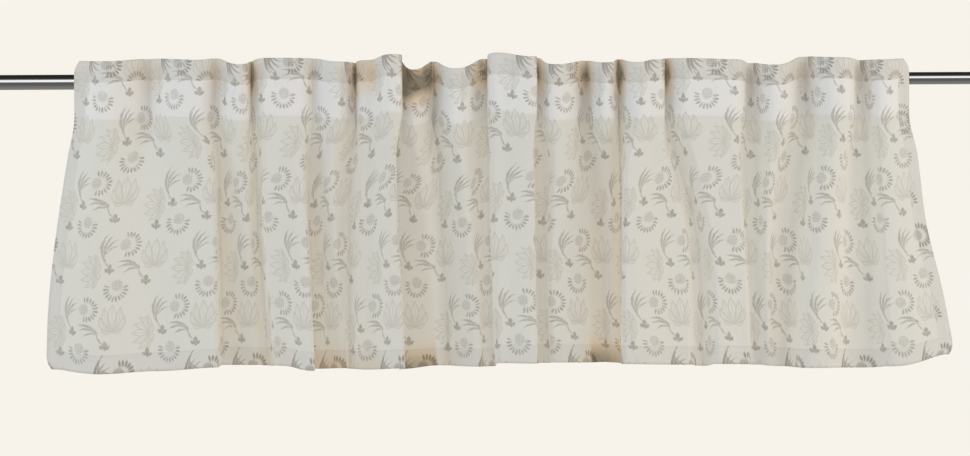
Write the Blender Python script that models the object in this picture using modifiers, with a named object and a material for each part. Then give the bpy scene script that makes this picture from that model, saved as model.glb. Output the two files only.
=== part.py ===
import math
from collections import namedtuple

import bmesh
import bpy
import numpy as np

MM = 0.001

# Telescopic rod: its axis is the X axis, the wide tube is on the left and the narrow tube slides into it
ROD_LENGTH = 1680 * MM
OUTER_TUBE_DIAMETER = 24.4 * MM
INNER_TUBE_DIAMETER = 20.0 * MM
INNER_TUBE_WALL = 1.2 * MM
SLIDING_GAP = 0.3 * MM
OUTER_TUBE_END = 45 * MM
INNER_TUBE_START = -205 * MM
TUBE_EDGE = 0.4 * MM
TUBE_STEPS = 40

# Panel of cloth
CUT_WIDTH = 2400 * MM
DROP = 495 * MM
CLOTH = 1.2 * MM
DOUBLED_CLOTH = 2.4 * MM
TURNED_TOP = 34 * MM
BOTTOM_HEM = 30 * MM
SIDE_HEM = 22 * MM
HEM_STEP = 1.5 * MM
LEVEL_TOP = 28 * MM
ROD_PLANE = 17 * MM
HEADING_PINCH = 0.35
HEADING_ROUND = 0.36
HEADING_FADE = 60 * MM

# Tape sewn behind the heading, and the loops sewn behind the tape
TAPE = 0.8 * MM
TAPE_TOP = 5 * MM
TAPE_FOOT = 93 * MM
SEWN_GAP = 0.3 * MM
LOOP_WIDTH = 20 * MM
LOOP = 1.2 * MM
LOOP_TOP = 22 * MM
LOOP_TOP_SEAM = 17.5 * MM
LOOP_FOOT_SEAM = -45 * MM
LOOP_FOOT = -52 * MM

# Heights at which the folds were measured: heading, shoulder, middle, low and hem
MEASURED = tuple(height * MM for height in (-65, -131, -249, -360, -462))

# One row for each crest or valley of the folds, from left to right, in millimetres: how far across and
# how far in front of the rod's axis it runs at each measured height, the height of the top edge and of
# the bottom edge there, and how broadly the cloth turns on its left and on its right
FoldLine = namedtuple("FoldLine", "name across forward top foot before after")
FOLD_LINES = (
    FoldLine("left_edge", (-663, -674, -691, -703, -707), (30, 32, 36, 38, 40), 31, -466, 0.30, 0.30),
    FoldLine("crest_1", (-604, -606, -611, -614, -613), (54, 58, 62, 64, 66), 27, -471, 0.35, 0.45),
    FoldLine("valley_1", (-545, -541, -535, -531, -526), (17, 42, 56, 60, 62), 35, -467, 0.20, 0.20),
    FoldLine("crest_2", (-455, -434, -425, -423, -421), (60, 64, 70, 76, 82), 28, -459, 0.50, 0.05),
    FoldLine("valley_2", (-433, -432, -431, -429, -428), (36, 24, 17, 17, 17), 33, -463, 0.10, 0.35),
    FoldLine("crest_3", (-390, -382, -377, -372, -366), (66, 60, 50, 40, 36), 20, -461, 0.35, 0.08),
    FoldLine("valley_3", (-379, -373, -369, -360, -352), (17, 17, 20, 24, 26), 30, -463, 0.12, 0.12),
    FoldLine("crest_4", (-347, -350, -346, -336, -326), (56, 58, 62, 66, 72), 31, -458, 0.15, 0.40),
    FoldLine("crest_5", (-291, -287, -280, -274, -268), (60, 66, 78, 88, 98), 30, -463, 0.45, 0.06),
    FoldLine("valley_4", (-275, -282, -283, -280, -277), (44, 30, 20, 17, 17), 31, -470, 0.12, 0.35),
    FoldLine("crest_6", (-236, -240, -238, -232, -226), (62, 60, 56, 52, 50), 24, -465, 0.35, 0.15),
    FoldLine("valley_5", (-210, -217, -221, -221, -219), (17, 28, 34, 38, 40), 27, -467, 0.12, 0.15),
    FoldLine("crest_7", (-187, -193, -196, -196, -192), (60, 60, 62, 66, 70), 26, -465, 0.20, 0.40),
    FoldLine("crest_8", (-145, -140, -137, -130, -126), (84, 92, 98, 102, 104), 32, -459, 0.45, 0.05),
    FoldLine("valley_6", (-140, -143, -145, -142, -138), (17, 17, 17, 17, 17), 35, -471, 0.10, 0.25),
    FoldLine("crest_9", (-114, -104, -92, -82, -76), (50, 46, 38, 32, 28), 12, -464, 0.30, 0.30),
    FoldLine("valley_7", (-83, -76, -70, -63, -60), (17, 20, 24, 22, 20), 29, -465, 0.20, 0.35),
    FoldLine("crest_10", (-45, -34, -24, -13, -8), (56, 54, 54, 54, 56), 13, -463, 0.35, 0.20),
    FoldLine("valley_8", (3, 2, 2, 5, 8), (17, 20, 28, 32, 34), 33, -465, 0.30, 0.30),
    FoldLine("crest_11", (21, 19, 19, 22, 25), (62, 64, 68, 72, 76), 37, -455, 0.40, 0.40),
    FoldLine("crest_12", (72, 76, 78, 79, 81), (68, 72, 76, 80, 84), 30, -455, 0.45, 0.08),
    FoldLine("valley_9", (83, 90, 91, 93, 94), (17, 17, 17, 22, 26), 34, -461, 0.35, 0.40),
    FoldLine("crest_13", (113, 114, 109, 107, 110), (62, 58, 56, 60, 64), 18, -456, 0.35, 0.40),
    FoldLine("valley_10", (166, 171, 184, 194, 194), (17, 18, 20, 18, 17), 29, -461, 0.20, 0.30),
    FoldLine("crest_14", (193, 198, 204, 207, 209), (58, 44, 34, 28, 24), 21, -461, 0.35, 0.12),
    FoldLine("valley_11", (218, 220, 221, 221, 221), (17, 17, 17, 17, 17), 31, -463, 0.08, 0.04),
    FoldLine("crest_15", (247, 224, 217, 214, 214), (68, 86, 96, 100, 104), 20, -454, 0.06, 0.50),
    FoldLine("crest_16", (271, 285, 310, 316, 319), (62, 66, 68, 72, 74), 25, -459, 0.40, 0.12),
    FoldLine("valley_12", (295, 311, 341, 348, 351), (17, 20, 26, 30, 32), 32, -466, 0.12, 0.15),
    FoldLine("crest_17", (321, 334, 358, 367, 369), (60, 62, 68, 72, 76), 27, -458, 0.25, 0.40),
    FoldLine("crest_18", (395, 399, 406, 413, 416), (60, 62, 66, 66, 64), 25, -460, 0.45, 0.20),
    FoldLine("valley_13", (433, 433, 431, 433, 437), (17, 24, 36, 40, 38), 24, -464, 0.45, 0.45),
    FoldLine("crest_19", (462, 455, 449, 450, 454), (60, 60, 60, 56, 52), 16, -464, 0.35, 0.15),
    FoldLine("valley_14", (521, 507, 489, 479, 472), (17, 20, 28, 32, 34), 34, -467, 0.40, 0.40),
    FoldLine("crest_20", (558, 547, 534, 521, 512), (64, 70, 78, 86, 92), 27, -463, 0.45, 0.40),
    FoldLine("valley_15", (614, 612, 609, 608, 607), (17, 24, 34, 40, 42), 28, -469, 0.45, 0.45),
    FoldLine("crest_21", (632, 632, 636, 641, 645), (56, 60, 64, 70, 76), 24, -463, 0.30, 0.40),
    FoldLine("right_edge", (684, 695, 708, 732, 749), (36, 40, 44, 48, 52), 28, -447, 0.30, 0.30),
)

# Columns of the panel's mesh along each flank of a fold, as shares of the cloth between its two lines
FLANK_COLUMNS = (0.07, 0.35, 0.65, 0.93, 1.0)
CURVE_STEPS = 24

# Rows of the panel's mesh, as distances below the top edge
PANEL_ROWS = (
    0.0,
    TURNED_TOP,
    TURNED_TOP + HEM_STEP,
    TAPE_FOOT,
    130 * MM,
    178 * MM,
    228 * MM,
    278 * MM,
    328 * MM,
    375 * MM,
    420 * MM,
    DROP - BOTTOM_HEM - HEM_STEP,
    DROP - BOTTOM_HEM,
    DROP,
)


def clear_scene():
    for old in list(bpy.data.objects):
        bpy.data.objects.remove(old, do_unlink=True)


def make_collection(name):
    collection = bpy.data.collections.new(name)
    bpy.context.scene.collection.children.link(collection)
    return collection


def make_material(name, colour, roughness, metallic=0.0):
    material = bpy.data.materials.new(name)
    material.use_nodes = True
    shader = material.node_tree.nodes["Principled BSDF"]
    shader.inputs["Base Color"].default_value = (*colour, 1.0)
    shader.inputs["Roughness"].default_value = roughness
    shader.inputs["Metallic"].default_value = metallic
    material.diffuse_color = (*colour, 1.0)
    return material


def add_object(name, mesh, collection, material):
    made = bpy.data.objects.new(name, mesh)
    made.data.materials.append(material)
    collection.objects.link(made)
    return made


def solidify(made, thickness, group=None):
    modifier = made.modifiers.new("thickness", "SOLIDIFY")
    modifier.thickness = thickness
    modifier.offset = 0.0
    if group is not None:
        modifier.vertex_group = group
    return modifier


# A value at a height, on a smooth curve through the values at the measured heights
def at_height(values, height):
    if height >= MEASURED[0]:
        return values[0]
    if height <= MEASURED[-1]:
        return values[-1]
    pairs = range(len(MEASURED) - 1)
    slopes = [(values[i + 1] - values[i]) / (MEASURED[i + 1] - MEASURED[i]) for i in pairs]
    bends = [0.0]
    for before, after in zip(slopes, slopes[1:]):
        bends.append((before + after) / 2 if before * after > 0 else 0.0)
    bends.append(slopes[-1])
    low = next(i for i in pairs if MEASURED[i + 1] <= height)
    span = MEASURED[low + 1] - MEASURED[low]
    t = (height - MEASURED[low]) / span
    start = (2 * t**3 - 3 * t**2 + 1) * values[low] + (t**3 - 2 * t**2 + t) * span * bends[low]
    end = (3 * t**2 - 2 * t**3) * values[low + 1] + (t**3 - t**2) * span * bends[low + 1]
    return start + end


# Where the fold lines cross a height, seen from above, with the cloth in front of the rod at -Y
def crossings(height, depth=1.0):
    places = []
    for line in FOLD_LINES:
        across = at_height(line.across, height) * MM
        forward = at_height(line.forward, height) * MM
        places.append(np.array((across, -ROD_PLANE - (forward - ROD_PLANE) * depth)))
    return places


# One flank of a fold: it leaves each of its two lines square to the depth of the fold
def flank(start, end, start_turn, end_turn):
    reach = np.linalg.norm(end - start)
    from_start = start + np.array((start_turn * reach, 0.0))
    to_end = end - np.array((end_turn * reach, 0.0))
    t = np.linspace(0.0, 1.0, CURVE_STEPS + 1)[:, None]
    bend = 3 * (1 - t) ** 2 * t * from_start + 3 * (1 - t) * t**2 * to_end
    return (1 - t) ** 3 * start + bend + t**3 * end


def lengths_along(points):
    steps = np.linalg.norm(np.diff(points, axis=0), axis=1)
    return np.concatenate(((0.0,), np.cumsum(steps)))


# How broadly the cloth turns on one side of a line: at the heading the valleys are pinched by the loops
# and the tape keeps the crests round, and below it each line takes its own turn
def turn_of(line, side, height):
    turn = getattr(line, side)
    at_heading = turn * HEADING_PINCH if line.name.startswith("valley") else max(turn, HEADING_ROUND)
    fallen = min(1.0, max(0.0, (MEASURED[0] - height) / HEADING_FADE))
    return at_heading + (turn - at_heading) * fallen


def flanks(height, depth):
    places = crossings(height, depth)
    after = [turn_of(line, "after", height) for line in FOLD_LINES]
    before = [turn_of(line, "before", height) for line in FOLD_LINES]
    return [flank(*ends) for ends in zip(places, places[1:], after, before[1:])]


# The folds are made deeper or shallower at each height until they take up the same width of cloth
def fold_depth(height):
    shallow, deep = 0.4, 2.0
    for _ in range(30):
        depth = (shallow + deep) / 2
        width = sum(lengths_along(curve)[-1] for curve in flanks(height, depth))
        if width < CUT_WIDTH:
            shallow = depth
        else:
            deep = depth
    return (shallow + deep) / 2


# Shares of a flank's cloth at which it has columns; the side flanks have two more where their hem ends
def column_shares(index, length):
    if index == 0:
        return (SIDE_HEM / length, (SIDE_HEM + HEM_STEP) / length, 0.65, 0.85, 1.0)
    if index == len(FOLD_LINES) - 2:
        return (0.15, 0.35, 1 - (SIDE_HEM + HEM_STEP) / length, 1 - SIDE_HEM / length, 1.0)
    return FLANK_COLUMNS


# The cloth's section at a height: each column's place, the fold line before it and how far past it
def section(height):
    places, lines, shares = [], [], []
    curves = flanks(height, fold_depth(height))
    for index, curve in enumerate(curves):
        along = lengths_along(curve)
        wanted = column_shares(index, along[-1])
        wanted = (0.0, *wanted) if index == 0 else wanted
        for share in wanted:
            x = np.interp(share * along[-1], along, curve[:, 0])
            y = np.interp(share * along[-1], along, curve[:, 1])
            places.append((x, y))
            lines.append(index)
            shares.append(share)
    return np.array(places), lines, shares


# Height of an edge of the cloth at a column, eased from one fold line to the next
def edge_height(edge, line, share):
    before = getattr(FOLD_LINES[line], edge)
    after = getattr(FOLD_LINES[line + 1], edge)
    eased = share * share * (3 - 2 * share)
    return (before + (after - before) * eased) * MM


def surface_mesh(name, rows):
    sheet = bmesh.new()
    grid = [[sheet.verts.new(point) for point in row] for row in rows]
    for upper, lower in zip(grid, grid[1:]):
        for left in range(len(upper) - 1):
            sheet.faces.new((upper[left], lower[left], lower[left + 1], upper[left + 1]))
    mesh = bpy.data.meshes.new(name)
    sheet.to_mesh(mesh)
    sheet.free()
    mesh.shade_smooth()
    return mesh


def is_doubled(distance, column, columns):
    in_top = distance <= TURNED_TOP
    in_bottom = distance >= DROP - BOTTOM_HEM
    in_side = column <= 1 or column >= columns - 2
    return in_top or in_bottom or in_side


def make_panel(collection, material):
    rows = []
    weights = []
    for distance in PANEL_ROWS:
        places, lines, shares = section(LEVEL_TOP - distance)
        row = []
        for column, (place, line, share) in enumerate(zip(places, lines, shares)):
            top = edge_height("top", line, share)
            foot = edge_height("foot", line, share)
            row.append((place[0], place[1], top + (foot - top) * distance / DROP))
            doubled = is_doubled(distance, column, len(lines))
            weights.append(1.0 if doubled else CLOTH / DOUBLED_CLOTH)
        rows.append(row)
    panel = add_object("panel", surface_mesh("panel", rows), collection, material)
    group = panel.vertex_groups.new(name="doubled")
    for vertex, weight in enumerate(weights):
        group.add((vertex,), weight, "REPLACE")
    solidify(panel, DOUBLED_CLOTH, group.name)
    return panel


# The line that stays a distance behind a section, with a mitre at the corners it lies inside
def offset_behind(places, distance):
    steps = np.diff(places, axis=0)
    steps /= np.linalg.norm(steps, axis=1)[:, None]
    normals = np.column_stack((-steps[:, 1], steps[:, 0]))
    before = np.vstack((normals[:1], normals))
    after = np.vstack((normals, normals[-1:]))
    straight = (before + after) / np.linalg.norm(before + after, axis=1)[:, None]
    mitre = (before + after) / (1 + np.sum(before * after, axis=1))[:, None]
    turned = before[:, 0] * after[:, 1] - before[:, 1] * after[:, 0]
    return places + distance * np.where(turned[:, None] > 0, mitre, straight)


# The tape follows the heading's folds just behind the turned top, between the side hems
def make_tape(collection, material):
    places, lines, shares = section(LEVEL_TOP)
    back = offset_behind(places, DOUBLED_CLOTH / 2 + SEWN_GAP + TAPE / 2)
    inside = range(2, len(lines) - 2)
    tops = {column: edge_height("top", lines[column], shares[column]) for column in inside}
    rows = [
        [(back[column][0], back[column][1], tops[column] - distance) for column in inside]
        for distance in (TAPE_TOP, (TAPE_TOP + TAPE_FOOT) / 2, TAPE_FOOT)
    ]
    tape = add_object("heading_tape", surface_mesh("heading_tape", rows), collection, material)
    solidify(tape, TAPE)
    return tape


# Side view of a loop: sewn to the tape above the rod, over and behind the rod, and back to the tape
def loop_route(rod_radius):
    tape_back = -ROD_PLANE + DOUBLED_CLOTH / 2 + SEWN_GAP + TAPE
    sewn = tape_back + SEWN_GAP + LOOP / 2
    round_rod = rod_radius + SLIDING_GAP + LOOP / 2
    lead = (sewn + 1.8 * MM, LOOP_TOP_SEAM - 1.8 * MM)
    route = [(sewn, LOOP_TOP), (sewn, LOOP_TOP_SEAM), lead]
    for angle in (108, 84, 60, 36, 12, -12, -30):
        turned = math.radians(angle)
        route.append((round_rod * math.cos(turned), round_rod * math.sin(turned)))
    route += [(sewn + 1.5 * MM, LOOP_FOOT_SEAM + 3 * MM), (sewn, LOOP_FOOT_SEAM), (sewn, LOOP_FOOT)]
    return route


def make_loop(number, across, collection, material):
    on_outer_tube = across < OUTER_TUBE_END
    diameter = OUTER_TUBE_DIAMETER if on_outer_tube else INNER_TUBE_DIAMETER
    sides = (across - LOOP_WIDTH / 2, across + LOOP_WIDTH / 2)
    rows = [[(x, y, z) for x in sides] for y, z in loop_route(diameter / 2)]
    name = f"back_loop_{number:02d}"
    loop = add_object(name, surface_mesh(name, rows), collection, material)
    solidify(loop, LOOP)
    return loop


# A tube turned about its own Z from the outline of its wall, then laid along X
def make_tube(name, outline, collection, material):
    mesh = bpy.data.meshes.new(name)
    edges = [(index, index + 1) for index in range(len(outline) - 1)]
    mesh.from_pydata([(radius, 0.0, length) for radius, length in outline], edges, [])
    tube = add_object(name, mesh, collection, material)
    turning = tube.modifiers.new("turning", "SCREW")
    turning.axis = "Z"
    turning.angle = 2 * math.pi
    turning.steps = TUBE_STEPS
    turning.render_steps = TUBE_STEPS
    turning.use_merge_vertices = True
    turning.merge_threshold = 0.00005
    turning.use_smooth_shade = True
    tube.rotation_euler.y = math.pi / 2
    return tube


def make_rod(collection, material):
    outer = OUTER_TUBE_DIAMETER / 2
    inner = INNER_TUBE_DIAMETER / 2
    bore = inner + SLIDING_GAP
    hollow = inner - INNER_TUBE_WALL
    left, right = -ROD_LENGTH / 2, ROD_LENGTH / 2
    wide = [
        (0.0, left + INNER_TUBE_WALL),
        (bore, left + INNER_TUBE_WALL),
        (bore, OUTER_TUBE_END),
        (outer - TUBE_EDGE, OUTER_TUBE_END),
        (outer, OUTER_TUBE_END - TUBE_EDGE),
        (outer, left + TUBE_EDGE),
        (outer - TUBE_EDGE, left),
        (0.0, left),
    ]
    narrow = [
        (0.0, right),
        (inner - TUBE_EDGE, right),
        (inner, right - TUBE_EDGE),
        (inner, INNER_TUBE_START + TUBE_EDGE),
        (inner - TUBE_EDGE, INNER_TUBE_START),
        (hollow, INNER_TUBE_START),
        (hollow, right - INNER_TUBE_WALL),
        (0.0, right - INNER_TUBE_WALL),
    ]
    make_tube("rod_outer_tube", wide, collection, material)
    make_tube("rod_inner_tube", narrow, collection, material)


def main():
    clear_scene()
    collection = make_collection("window_valance")
    printed_cloth = make_material("printed_cloth", (0.62, 0.60, 0.56), 0.9)
    white_tape = make_material("white_tape", (0.80, 0.80, 0.79), 0.85)
    bright_metal = make_material("bright_metal", (0.55, 0.55, 0.56), 0.12, 1.0)
    make_panel(collection, printed_cloth)
    make_tape(collection, white_tape)
    held = [line for line in FOLD_LINES if line.forward[0] * MM == ROD_PLANE]
    for number, line in enumerate(held, start=1):
        make_loop(number, line.across[0] * MM, collection, white_tape)
    make_rod(collection, bright_metal)


main()
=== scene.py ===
import math
from collections import namedtuple

import bpy
import numpy as np
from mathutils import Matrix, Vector, noise


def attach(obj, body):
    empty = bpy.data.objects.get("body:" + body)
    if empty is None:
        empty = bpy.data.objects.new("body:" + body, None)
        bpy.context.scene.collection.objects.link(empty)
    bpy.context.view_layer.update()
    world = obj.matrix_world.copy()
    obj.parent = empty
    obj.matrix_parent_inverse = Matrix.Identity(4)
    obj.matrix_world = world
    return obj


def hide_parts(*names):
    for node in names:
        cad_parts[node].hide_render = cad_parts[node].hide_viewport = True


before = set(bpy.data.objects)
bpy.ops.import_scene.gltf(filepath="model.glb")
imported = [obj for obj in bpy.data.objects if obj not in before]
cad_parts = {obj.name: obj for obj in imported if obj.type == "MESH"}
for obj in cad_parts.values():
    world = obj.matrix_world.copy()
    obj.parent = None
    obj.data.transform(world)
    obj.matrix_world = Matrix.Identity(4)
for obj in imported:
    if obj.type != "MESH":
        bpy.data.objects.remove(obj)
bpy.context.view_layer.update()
mm = 0.001
print("frame loaded:", len(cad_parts), "nodes")


# Helpers for node trees

def feed(tree, socket, value):
    if isinstance(value, bpy.types.NodeSocket):
        tree.links.new(value, socket)
    else:
        socket.default_value = value


def calc(tree, operation, *values, clamp=False):
    node = tree.nodes.new("ShaderNodeMath")
    node.operation = operation
    node.use_clamp = clamp
    for socket, value in zip(node.inputs, values):
        feed(tree, socket, value)
    return node.outputs[0]


def times(tree, first, second):
    return calc(tree, "MULTIPLY", first, second)


def minus(tree, first, second, **options):
    return calc(tree, "SUBTRACT", first, second, **options)


def timesPlus(tree, value, factor, more, **options):
    return calc(tree, "MULTIPLY_ADD", value, factor, more, **options)


def squaredLength(tree, x, y):
    return timesPlus(tree, x, x, times(tree, y, y))


# 1 inside an edge, 0 outside, over a soft width
def softStep(tree, inside, soft):
    return timesPlus(tree, inside, 1 / soft, 0.5, clamp=True)


def blendColours(tree, amount, first, second, mode="MIX"):
    node = tree.nodes.new("ShaderNodeMix")
    node.data_type = "RGBA"
    node.blend_type = mode
    feed(tree, node.inputs[0], amount)
    feed(tree, node.inputs[6], first)
    feed(tree, node.inputs[7], second)
    return node.outputs[2]


def newGroup(name, inputs, outputs):
    group = bpy.data.node_groups.new(name, "ShaderNodeTree")
    for label, value in inputs.items():
        socket = group.interface.new_socket(label, in_out="INPUT", socket_type="NodeSocketFloat")
        socket.default_value = value
    for label in outputs:
        group.interface.new_socket(label, in_out="OUTPUT", socket_type="NodeSocketFloat")
    given = group.nodes.new("NodeGroupInput").outputs
    results = group.nodes.new("NodeGroupOutput").inputs
    return group, given, results


# the values of a group's outputs, in the order in which newGroup names them
def answer(group, results, *values):
    for socket, value in zip(results, values):
        group.links.new(value, socket)


def useGroup(tree, group, values):
    node = tree.nodes.new("ShaderNodeGroup")
    node.node_tree = group
    for label, value in values.items():
        feed(tree, node.inputs[label], value)
    return node.outputs


def noiseAt(tree, place, scale, detail=2.0):
    node = tree.nodes.new("ShaderNodeTexNoise")
    feed(tree, node.inputs["Vector"], place)
    setInputs(node, {"Scale": scale, "Detail": detail})
    return node.outputs["Fac"]


def vectorOf(tree, x, y, z=0.0):
    node = tree.nodes.new("ShaderNodeCombineXYZ")
    for socket, value in zip(node.inputs, (x, y, z)):
        feed(tree, socket, value)
    return node.outputs[0]


def darken(tree, colour, tone):
    node = tree.nodes.new("ShaderNodeCombineColor")
    for socket in node.inputs[:3]:
        feed(tree, socket, tone)
    return blendColours(tree, 1.0, colour, node.outputs[0], "MULTIPLY")


def setInputs(node, values):
    for label, value in values.items():
        node.inputs[label].default_value = value


def addBump(tree, shader, height, strength, distance):
    bump = tree.nodes.new("ShaderNodeBump")
    setInputs(bump, {"Strength": strength, "Distance": distance * mm})
    tree.links.new(height, bump.inputs["Height"])
    tree.links.new(bump.outputs[0], shader.inputs["Normal"])
    return bump.outputs[0]


def newShader(tree, kind, colour):
    node = tree.nodes.new("ShaderNode" + kind)
    feed(tree, node.inputs["Color"], colour)
    return node


def mixShaders(tree, amount, first, second):
    node = tree.nodes.new("ShaderNodeMixShader")
    feed(tree, node.inputs[0], amount)
    tree.links.new(first.outputs[0], node.inputs[1])
    tree.links.new(second.outputs[0], node.inputs[2])
    return node


def newObject(name, data):
    made = bpy.data.objects.new(name, data)
    bpy.context.scene.collection.objects.link(made)
    return made


def newMaterial(name):
    material = bpy.data.materials.new(name)
    material.use_nodes = True
    tree = material.node_tree
    return material, tree, tree.nodes["Principled BSDF"], tree.nodes["Material Output"]


# Camera, about level with the middle of the cloth and square to it

camera = {
    "place": (0.0, -2.300, -0.221),
    "lens": 52.05,
    "rollDegrees": 0.267,
    "shiftY": -13 / 970,
}


def placeCamera():
    data = bpy.data.cameras.new("camera")
    data.sensor_width = 36.0
    data.lens = camera["lens"]
    data.shift_y = camera["shiftY"]
    made = newObject("camera", data)
    made.location = camera["place"]
    made.rotation_euler = (math.radians(90), math.radians(camera["rollDegrees"]), 0.0)
    bpy.context.scene.camera = made


# Soft studio light: a flat pale backdrop for the camera, softer light from behind than from in front

studio = {
    "backdrop": (0.930, 0.896, 0.831, 1.0),
    "leftSky": (0.90, 0.98, 1.06, 1.0),
    "rightSky": (1.03, 0.95, 0.88, 1.0),
    "behind": (0.93, 0.86, 0.74, 1.0),
    "skyStrength": 0.64,
    "sideGlow": 0.42,
    "aimAt": (0.0, 0.0, -0.22),
    "floorDrop": 2.0,
    "floorRadius": 5.0,
    "floorColour": (0.80, 0.77, 0.72, 1.0),
}

# each softbox: its name, place, colour, power and size
softboxes = (
    ("key", (-3.0, -1.9, 0.9), (0.86, 0.95, 1.0), 20.0, 1.6),
    ("fill", (3.0, -1.8, 0.3), (1.0, 0.92, 0.80), 27.0, 1.8),
)

# what the bright tubes reflect, by the angle up from level in front: angle in degrees and brightness
tubeReflections = (
    (-180, 0.10),
    (-120, 0.34),
    (-70, 0.24),
    (-30, 0.13),
    (-8, 0.22),
    (4, 1.60),
    (24, 1.60),
    (36, 0.20),
    (55, 0.03),
    (120, 0.02),
    (180, 0.05),
)


def lightWorld():
    world = bpy.data.worlds.new("studio")
    world.use_nodes = True
    tree = world.node_tree
    tree.nodes.clear()
    coordinates = tree.nodes.new("ShaderNodeTexCoord")
    direction = tree.nodes.new("ShaderNodeSeparateXYZ")
    tree.links.new(coordinates.outputs["Generated"], direction.inputs[0])
    x, y, z = direction.outputs
    rightward = timesPlus(tree, x, 0.5, 0.5, clamp=True)
    backward = timesPlus(tree, y, 0.8, 0.45, clamp=True)
    sky = blendColours(tree, rightward, studio["leftSky"], studio["rightSky"])
    sky = blendColours(tree, backward, sky, studio["behind"])
    soft = newShader(tree, "Background", sky)
    sideways = calc(tree, "ABSOLUTE", x)
    strength = timesPlus(tree, sideways, studio["sideGlow"], studio["skyStrength"])
    feed(tree, soft.inputs["Strength"], strength)

    front = times(tree, y, -1.0)
    angle = calc(tree, "ARCTAN2", z, front)
    turn = timesPlus(tree, angle, 0.5 / math.pi, 0.5)
    ramp = tree.nodes.new("ShaderNodeValToRGB")
    tree.links.new(turn, ramp.inputs[0])
    stops = ramp.color_ramp.elements
    while len(stops) < len(tubeReflections):
        stops.new(0.5)
    for stop, (degrees, brightness) in zip(stops, tubeReflections):
        stop.position = degrees / 360 + 0.5
        stop.color = (brightness, brightness, brightness, 1.0)
    shine = newShader(tree, "Background", ramp.outputs[0])
    plain = newShader(tree, "Background", studio["backdrop"])
    path = tree.nodes.new("ShaderNodeLightPath").outputs
    lit = mixShaders(tree, path["Is Glossy Ray"], soft, shine)
    seen = mixShaders(tree, path["Is Camera Ray"], lit, plain)
    output = tree.nodes.new("ShaderNodeOutputWorld")
    tree.links.new(seen.outputs[0], output.inputs["Surface"])
    bpy.context.scene.world = world


def addSoftbox(name, place, colour, power, size):
    data = bpy.data.lights.new(name, "AREA")
    data.shape = "DISK"
    data.size = size
    data.energy = power
    data.color = colour
    box = newObject(name, data)
    box.location = place
    aim = Vector(studio["aimAt"]) - Vector(place)
    box.rotation_euler = aim.to_track_quat("-Z", "Y").to_euler()
    box.visible_glossy = False


def addFloor():
    radius, drop = studio["floorRadius"], studio["floorDrop"]
    bpy.ops.mesh.primitive_circle_add(vertices=96, radius=radius, fill_type="NGON", location=(0, 0, -drop))
    floor = bpy.context.object
    floor.name = "studio_floor"
    material, tree, shader, output = newMaterial("paleFloor")
    setInputs(shader, {"Base Color": studio["floorColour"], "Roughness": 0.8})
    floor.data.materials.append(material)
    floor.visible_glossy = False


def setStudio():
    bpy.context.scene.view_settings.view_transform = "Standard"
    lightWorld()
    for box in softboxes:
        addSoftbox(*box)
    addFloor()
    print("camera, lights and floor set")


# The valance: one length of cloth in uneven folds, sizes in millimetres

valance = {
    "cutWidth": 2400.0,
    "drop": 495.0,
    "cornerRound": 9.0,
    "cloth": 0.8,
    "doubledCloth": 1.6,
    "turnedTop": 34.0,
    "bottomHem": 30.0,
    "sideHem": 22.0,
    "hemStep": 1.5,
    "levelTop": 28.0,
    "rodPlane": 17.0,
    "columnsPerFlank": 12,
    "rowPitch": 5.5,
    "headingPinch": 0.35,
    "headingRound": 0.36,
    "headingFade": 60.0,
    "cornerFall": 22.0,
    "cornerReach": 45.0,
}

# heights at which the folds were measured: heading, shoulder, middle, low and hem
measuredHeights = (-65.0, -131.0, -249.0, -360.0, -462.0)

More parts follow.
